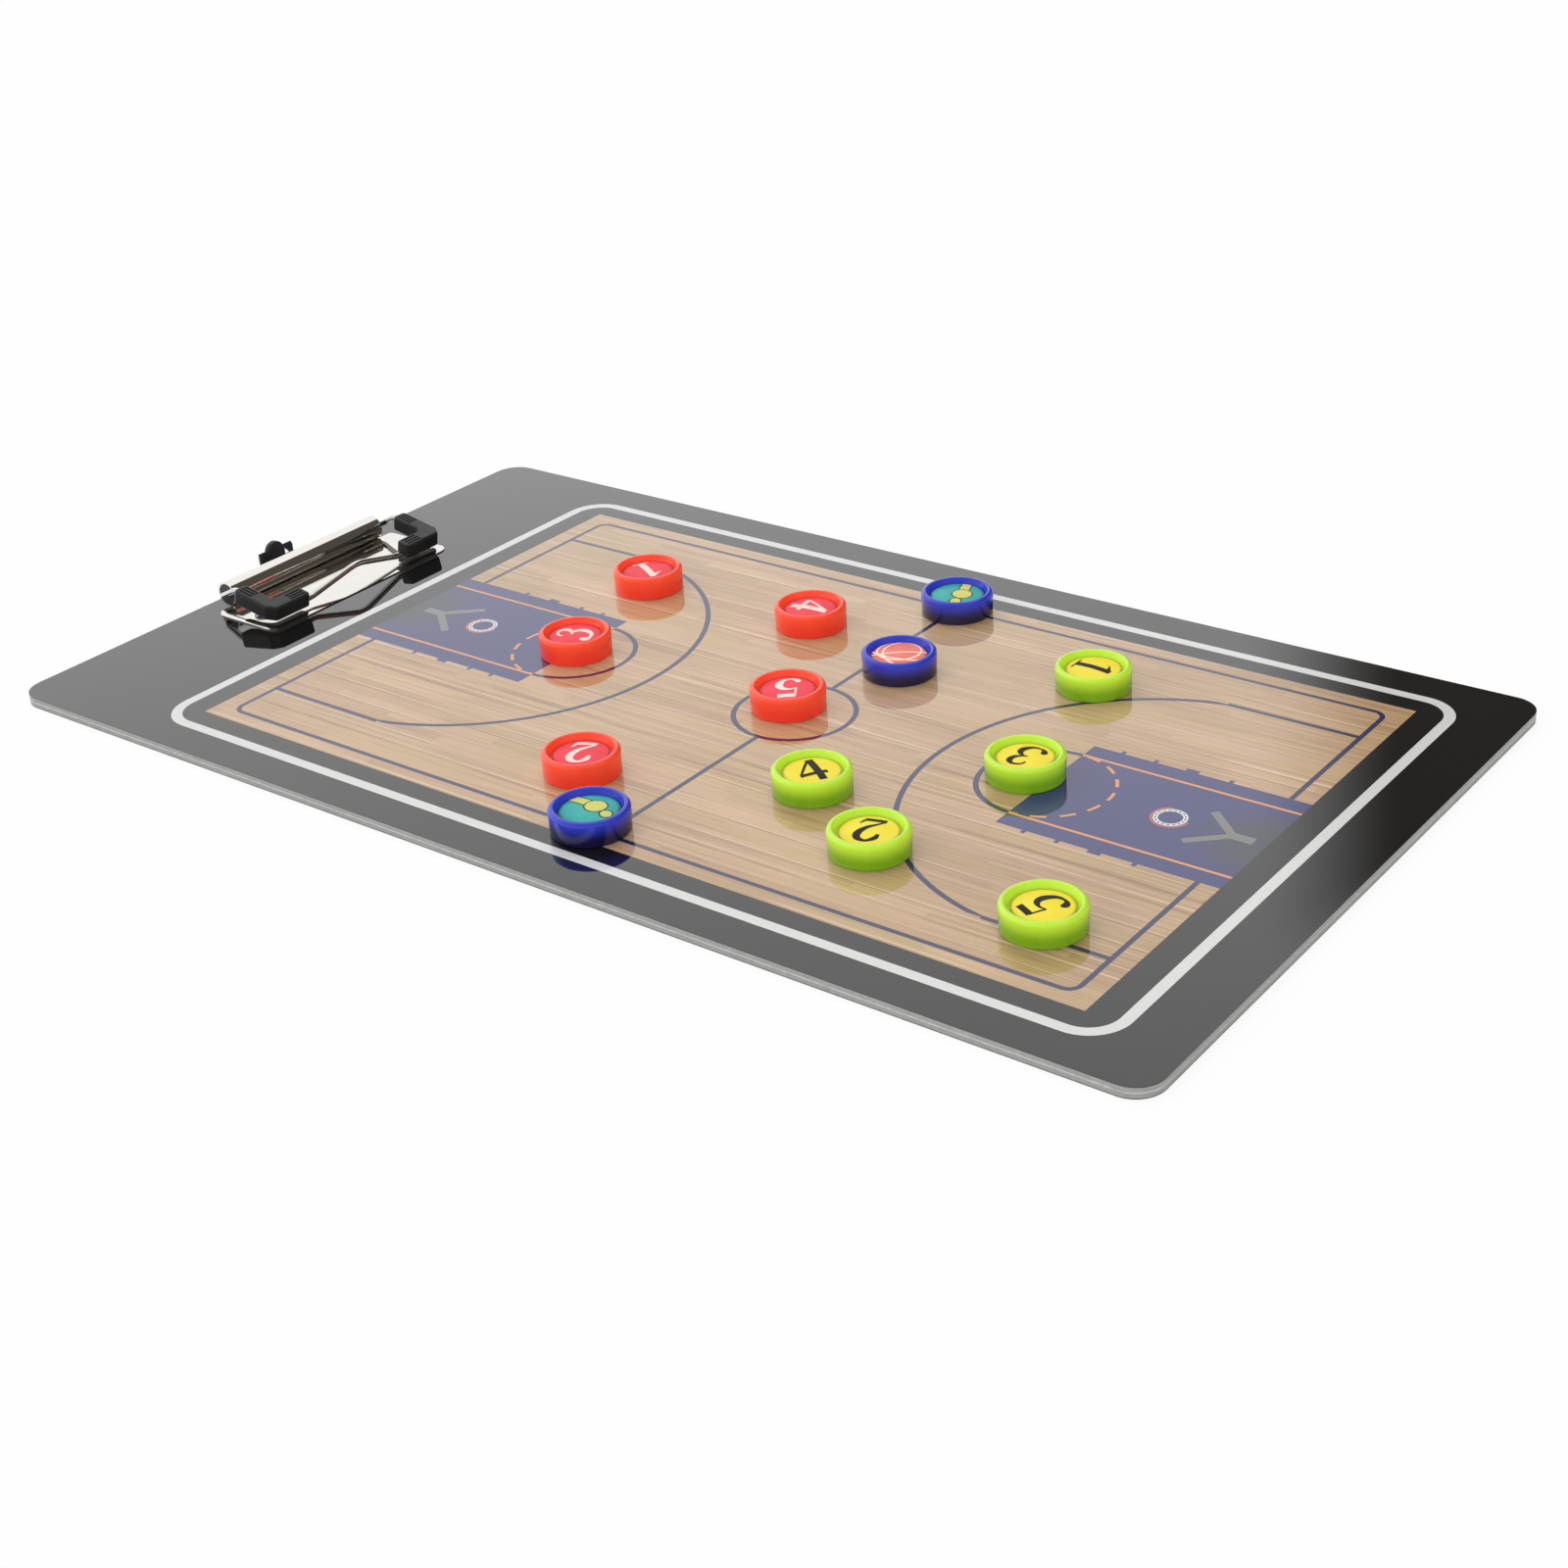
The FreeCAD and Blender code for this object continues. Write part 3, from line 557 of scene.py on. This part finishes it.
def label_material(name, colour, shade):
    """Domed clear-coated label without a sign on it, with painted shade round its edge."""
    look = Look(name)
    drift = look.noise(look.place, 160.0, detail=3.0)
    face = look.over(colour, look.remap(drift, 0.35, 0.65, 0.0, 1.0), shade)
    low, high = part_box("ball_label")
    dome_foot = high[2] - (high[2] - low[2]) * LABEL_DOME_SHARE
    edge_shade_top = dome_foot + (high[2] - dome_foot) * LABEL_EDGE_SHADE_SHARE
    # Painted shade round the label's edge, darkest at the dome's foot and on the side below it
    edge = look.remap(look.split(look.place)["Z"], dome_foot, edge_shade_top, LABEL_EDGE_SHADE_DEPTH, 0.0)
    look.set(base_color=look.over(face, edge, tuple(c * LABEL_EDGE_SHADE_TONE for c in shade)), roughness=0.4)
    look.set(specular_ior_level=0.2, coat_weight=0.05, coat_roughness=0.05)
    return look


def label_centre(counter):
    low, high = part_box(counter + "_label")
    return ((low[0] + high[0]) / 2 / MM, (low[1] + high[1]) / 2 / MM)


def whistle_material(counter):
    """Teal label with a plain whistle: body, mouthpiece and ring, each with a dark outline."""
    look = label_material(counter + "_whistle", TEAL_LABEL, (0.03, 0.36, 0.36))
    sign = Print(look, label_centre(counter), math.radians(UP_ANGLES[counter]))
    body, body_radius = (-0.85, -1.5), 2.75
    ring, ring_radius = (-5.25, 0.1), 1.45
    mouth, neck_width = (8.0, -2.6), 2.7
    line = 0.4
    dark = [
        sign.disc(*body, body_radius + line), sign.disc(*ring, ring_radius + line),
        sign.bar(body, mouth, neck_width + 2 * line),
    ]
    neck = [sign.bar(body, mouth, neck_width), sign.disc(*ring, ring_radius)]
    base = look.shader.inputs["Base Color"]
    colour = look.over(base.links[0].from_socket, look.union(dark), SIGN_LINE)
    colour = look.over(colour, look.union(neck), SIGN_YELLOW)
    colour = look.over(colour, sign.ring(*body, body_radius + line / 2, line), SIGN_LINE)
    look.put(base, look.over(colour, sign.disc(*body, body_radius), SIGN_YELLOW))
    return look.material


def ball_material(counter):
    """Salmon label with the seams of a ball in white."""
    look = label_material(counter + "_seams", SALMON_LABEL, (0.80, 0.17, 0.12))
    sign = Print(look, label_centre(counter), math.radians(UP_ANGLES[counter]))
    width = 0.55
    seams = [
        sign.box(-8.0, 8.0, -width / 2, width / 2),
        sign.ring(4.4, 8.4, 13.1, width),
        sign.ring(3.55, -0.1, 8.0, width),
        sign.ring(0.05, 1.6, 6.05, width),
    ]
    base = look.shader.inputs["Base Color"]
    look.put(base, look.over(base.links[0].from_socket, look.union(seams), SEAM_WHITE))
    return look.material


def smooth_points(points, steps):
    """Points along a smooth curve through the given ones, straight where there are only two."""
    padded = [points[0], *points, points[-1]]
    out = []
    for a, b, c, d in zip(padded, padded[1:], padded[2:], padded[3:]):
        for i in range(steps):
            t = i / steps
            out.append(tuple(
                q + 0.5 * t * ((r - p) + t * (2 * p - 5 * q + 4 * r - s + t * (3 * q - p - 3 * r + s)))
                for p, q, r, s in zip(a, b, c, d)
            ))
    return out + [points[-1]]


def number_piece(counter):
    """A printed number on a counter's domed label, as pen strokes that follow the dome."""
    low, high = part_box(counter + "_label")
    centre = (Vector(low) + Vector(high)) / 2
    radius = (high[0] - low[0]) / 2
    rise = (high[2] - low[2]) * LABEL_DOME_SHARE
    ball = (radius * radius + rise * rise) / (2 * rise)
    turn = Matrix.Rotation(math.radians(UP_ANGLES[counter] - 90), 2)
    mesh = bmesh.new()
    for layer, stroke in enumerate(NUMBER_STROKES[counter[-1]]):
        path = smooth_points(stroke, CURVE_STEPS)
        pairs = []
        for i, (x, y, width) in enumerate(path):
            ahead = path[min(i + 1, len(path) - 1)]
            behind = path[max(i - 1, 0)]
            along = Vector((ahead[0] - behind[0], ahead[1] - behind[1])).normalized()
            aside = Vector((-along.y, along.x)) * width / 2
            pair = []
            for side in (-1, 1):
                flat = turn @ (Vector((x, y)) + side * aside) * NUMBER_HEIGHT
                drop = ball - math.sqrt(ball * ball - flat.length_squared)
                lift = NUMBER_LIFT * (1 + layer * STROKE_STEP)
                pair.append(mesh.verts.new((centre.x + flat.x, centre.y + flat.y, high[2] - drop + lift)))
            pairs.append(pair)
        for (a, b), (c, d) in zip(pairs, pairs[1:]):
            mesh.faces.new((a, c, d, b))
    bmesh.ops.recalc_face_normals(mesh, faces=mesh.faces)
    data = bpy.data.meshes.new(counter + "_number")
    mesh.to_mesh(data)
    mesh.free()
    piece = bpy.data.objects.new(counter + "_number", data)
    bpy.context.scene.collection.objects.link(piece)
    return piece


def paint(node, material):
    slots = nodes[node].data.materials
    slots.clear()
    slots.append(material)


def dress_board():
    edge = cut_edge("sheet_edge", (0.30, 0.30, 0.295), (0.22, 0.22, 0.217))
    paint("front_film", film_material())
    paint("front_sheet", edge)
    paint("back_sheet", edge)
    paint("steel_sheet", metal("steel_core", (0.62, 0.62, 0.61), (0.5, 0.5, 0.49), 0.35))
    paint("back_film", plastic("back_film", (0.012, 0.012, 0.0125), (0.02, 0.02, 0.021), 0.35, grain=500.0))


def dress_clip():
    drawn = (1.0, 0.1, 1.0)
    chrome = metal("chrome", (0.86, 0.835, 0.79), (0.82, 0.795, 0.75), 0.045, stretch=drawn, bow=PLATE_BOW)
    wire = metal("bail_chrome", (0.80, 0.795, 0.78), (0.72, 0.715, 0.70), 0.05, stretch=drawn)
    black = plastic("black_moulding", (0.010, 0.010, 0.0105), (0.016, 0.016, 0.0165), 0.38)
    paint("clip_base_plate", chrome)
    paint("bail_wire", wire)
    paint("clip_rivets", metal("rivet_zinc", (0.66, 0.66, 0.67), (0.55, 0.55, 0.56), 0.22))
    paint("torsion_spring", metal("spring_wire", (0.42, 0.42, 0.43), (0.32, 0.32, 0.33), 0.28))
    for node in ("bush_near", "bush_far"):
        paint(node, plastic(node + "_nylon", (0.014, 0.014, 0.014), (0.022, 0.022, 0.022), 0.45))
    for node in ("grip_near", "grip_far", "hanger"):
        paint(node, black)


def dress_counters():
    red = cup_plastic("red_cup", RED, RED_FOOT_SHADE)
    green = cup_plastic("green_cup", GREEN, GREEN_FOOT_SHADE)
    blue = cup_plastic("blue_cup", BLUE, BLUE_FOOT_SHADE)
    red_label = label_material("red_label", RED_LABEL, (0.84, 0.050, 0.078)).material
    yellow_label = label_material("yellow_label", YELLOW_LABEL, (0.91, 0.73, 0.035)).material
    ferrite = metal("ferrite", (0.05, 0.05, 0.05), (0.035, 0.035, 0.035), 0.5, bump=0.1)
    white = plastic("number_white", DIGIT_WHITE, (0.92, 0.72, 0.66), 0.5, specular=0.2)
    grey = plastic("number_grey", DIGIT_GREY, (0.034, 0.030, 0.026), 0.5, specular=0.1)
    for counter in UP_ANGLES:
        team = counter.split("_")[0]
        paint(counter + "_cup", {"red": red, "green": green}.get(team, blue))
        paint(counter + "_disc", ferrite)
        if team in ("red", "green"):
            paint(counter + "_label", red_label if team == "red" else yellow_label)
            piece = number_piece(counter)
            piece.data.materials.append(white if team == "red" else grey)
            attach(piece, "counter_" + counter)
        elif team == "referee":
            paint(counter + "_label", whistle_material(counter))
        else:
            paint(counter + "_label", ball_material(counter))


def set_camera():
    """Camera at the photograph's viewing angle."""
    data = bpy.data.cameras.new("camera")
    data.sensor_width = 36.0
    data.lens = FOCAL_PIXELS / PHOTO_PIXELS * data.sensor_width
    data.clip_start = 0.01
    camera = bpy.data.objects.new("camera", data)
    axes = (Vector(CAMERA_RIGHT), -Vector(CAMERA_DOWN), -Vector(CAMERA_VIEW))
    turn = Matrix(axes).transposed().to_4x4()
    place = Vector(CAMERA_PLACE) * MM + Vector((0, 0, board_top))
    camera.matrix_world = Matrix.Translation(place) @ turn
    bpy.context.scene.collection.objects.link(camera)
    bpy.context.scene.camera = camera


def set_world():
    """White studio with a dark side to the right: white for the camera, graded for everything else."""
    world = bpy.data.worlds.new("studio")
    world.use_nodes = True
    bpy.context.scene.world = world
    tree = world.node_tree
    tree.nodes.clear()

    def math_node(operation, *values):
        node = tree.nodes.new("ShaderNodeMath")
        node.operation = operation
        for socket, value in zip(node.inputs, values):
            if isinstance(value, bpy.types.NodeSocket):
                tree.links.new(value, socket)
            else:
                socket.default_value = value
        return node.outputs[0]

    def step(value, low, high, to_low, to_high):
        node = tree.nodes.new("ShaderNodeMapRange")
        node.interpolation_type = "SMOOTHSTEP"
        tree.links.new(value, node.inputs[0])
        for socket, number in zip(list(node.inputs)[1:5], (low, high, to_low, to_high)):
            socket.default_value = number
        return node.outputs[0]

    direction = tree.nodes.new("ShaderNodeTexCoord").outputs["Generated"]
    split = tree.nodes.new("ShaderNodeSeparateXYZ")
    tree.links.new(direction, split.inputs[0])
    around = math_node("ARCTAN2", split.outputs["Y"], split.outputs["X"])
    leaning = math_node("MULTIPLY_ADD", split.outputs["Z"], math.radians(FAR_LEFT_LEAN), around)
    far_left = step(leaning, *map(math.radians, FAR_LEFT), 0.0, 1.0)
    near_left = step(around, *map(math.radians, NEAR_LEFT), 1.0, NEAR_LEFT_DIM)
    front = step(around, *map(math.radians, FRONT), 1.0, 0.0)
    across = math_node("ABSOLUTE", split.outputs["Y"])
    right_or_far = math_node("ADD", split.outputs["X"], across)
    lowered = math_node("MULTIPLY", right_or_far, -1.0)
    above = math_node("MULTIPLY_ADD", split.outputs["Z"], CEILING_SLOPE, lowered)
    far_half = step(split.outputs["Y"], *FAR_HALF, NEAR_CEILING_MIRRORED, 1.0)
    light_path = tree.nodes.new("ShaderNodeLightPath")
    near_half = math_node("SUBTRACT", 1.0, far_half)
    mirrored = math_node("MULTIPLY", light_path.outputs["Is Glossy Ray"], near_half)
    ceiling = step(above, *CEILING_EDGE, 0.0, 1.0)
    ceiling = math_node("MULTIPLY", ceiling, math_node("SUBTRACT", 1.0, mirrored))
    white_side = math_node("MAXIMUM", far_left, math_node("MULTIPLY", near_left, front))
    white = math_node("MAXIMUM", white_side, ceiling)

    def light(colour, strength):
        node = tree.nodes.new("ShaderNodeBackground")
        node.inputs["Color"].default_value = (*colour, 1.0)
        node.inputs["Strength"].default_value = strength
        return node.outputs[0]

    def mixed(factor, first, second):
        node = tree.nodes.new("ShaderNodeMixShader")
        for socket, value in zip(node.inputs, (factor, first, second)):
            tree.links.new(value, socket)
        return node.outputs[0]

    studio = mixed(white, light((1.0, 0.88, 0.74), STUDIO_DARK), light((1.0, 1.0, 1.0), STUDIO_WHITE))
    output = tree.nodes.new("ShaderNodeOutputWorld")
    seen = mixed(light_path.outputs["Is Camera Ray"], studio, light((1.0, 1.0, 1.0), 1.0))
    tree.links.new(seen, output.inputs["Surface"])


def add_soft_sun(towards, strength, spread, shadow=True):
    """Broad even light from one side, without a mirror image, and without a shadow where that is asked."""
    data = bpy.data.lights.new("soft_sun", "SUN")
    data.energy = strength
    data.angle = math.radians(spread)
    data.use_shadow = shadow
    lamp = bpy.data.objects.new("soft_sun", data)
    lamp.visible_glossy = False
    lamp.rotation_euler = Vector(towards).to_track_quat("-Z", "Y").to_euler()
    bpy.context.scene.collection.objects.link(lamp)


def set_floor():
    """Pale table top that keeps a soft shadow, open under the board so that its back shows from below."""
    level = cad_box[0][2] - FLOOR_CLEARANCE
    low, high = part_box("back_film")
    xs, ys = (
        (-FLOOR_REACH, low[axis] + FLOOR_TUCK, high[axis] - FLOOR_TUCK, FLOOR_REACH) for axis in range(2)
    )
    corners = [(x, y, level) for y in ys for x in xs]
    cells_around = [(row, column) for row in range(3) for column in range(3) if (row, column) != (1, 1)]
    faces = []
    for row, column in cells_around:
        first = row * 4 + column
        faces.append((first, first + 1, first + 5, first + 4))
    data = bpy.data.meshes.new("floor")
    data.from_pydata(corners, [], faces)
    floor = bpy.data.objects.new("floor", data)
    look = Look("floor_white")
    grain = look.noise(look.place, 40.0, detail=4.0)
    white = look.over((0.95, 0.95, 0.95), grain, (0.93, 0.93, 0.93))
    look.set(base_color=white, roughness=0.9, specular_ior_level=0.0)
    glow = look.add("ShaderNodeEmission")
    path = look.add("ShaderNodeLightPath")
    mix = look.add("ShaderNodeMixShader")
    look.put(mix.inputs[0], look.math("MULTIPLY", path.outputs["Is Camera Ray"], FLOOR_OWN_WHITE))
    look.put(mix.inputs[1], look.shader.outputs[0])
    look.put(mix.inputs[2], glow.outputs[0])
    look.put(look.tree.nodes["Material Output"].inputs["Surface"], mix.outputs[0])
    data.materials.append(look.material)
    bpy.context.scene.collection.objects.link(floor)


dress_board()
dress_clip()
dress_counters()
set_camera()
set_world()
set_floor()
for lamp in (KEY_LIGHT, RIGHT_FILL, LEFT_FILL):
    add_soft_sun(**lamp)
bpy.context.scene.view_settings.view_transform = "Standard"
